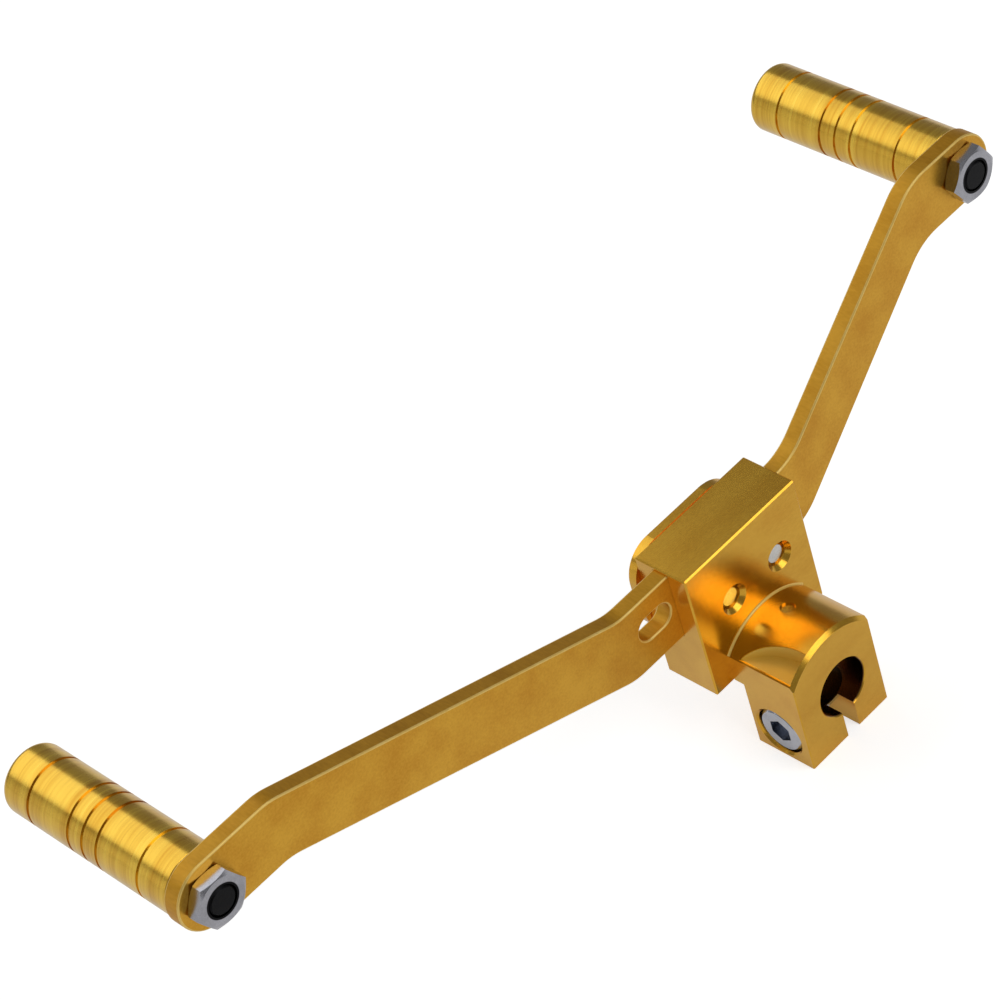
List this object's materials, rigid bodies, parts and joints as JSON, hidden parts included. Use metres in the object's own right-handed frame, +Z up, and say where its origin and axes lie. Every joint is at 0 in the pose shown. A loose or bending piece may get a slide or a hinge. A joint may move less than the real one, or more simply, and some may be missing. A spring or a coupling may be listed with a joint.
{
  "type": "motorcycle gear shift lever",
  "caption": "Heel and toe gear shift lever: a split hub clamps on the shift shaft and carries plate arms with turned foot pegs.",
  "frame": {"origin": "on the shift shaft's axis, in the plane of the hub's inner face", "axes": "+X forward to the toe peg, +Y outward along the shift shaft, +Z up"},
  "size_m": [0.28, 0.0899, 0.1037],
  "materials": {
    "gold_anodised": "gold anodised over machined aluminium, semi-gloss",
    "zinc_steel": "bright zinc plated",
    "black_steel": "black oxide"
  },
  "bodies": {
    "root": {"hub": "gold_anodised", "toe_arm": "gold_anodised", "heel_arm": "gold_anodised", "back_plate": "gold_anodised", "front_arm_screw": "zinc_steel", "rear_arm_screw": "zinc_steel", "pinch_bolt": "zinc_steel", "toe_peg": "gold_anodised", "heel_peg": "gold_anodised", "toe_peg_bolt": "black_steel", "heel_peg_bolt": "black_steel", "toe_peg_nut": "zinc_steel", "heel_peg_nut": "zinc_steel"}
  },
  "joints": []
}
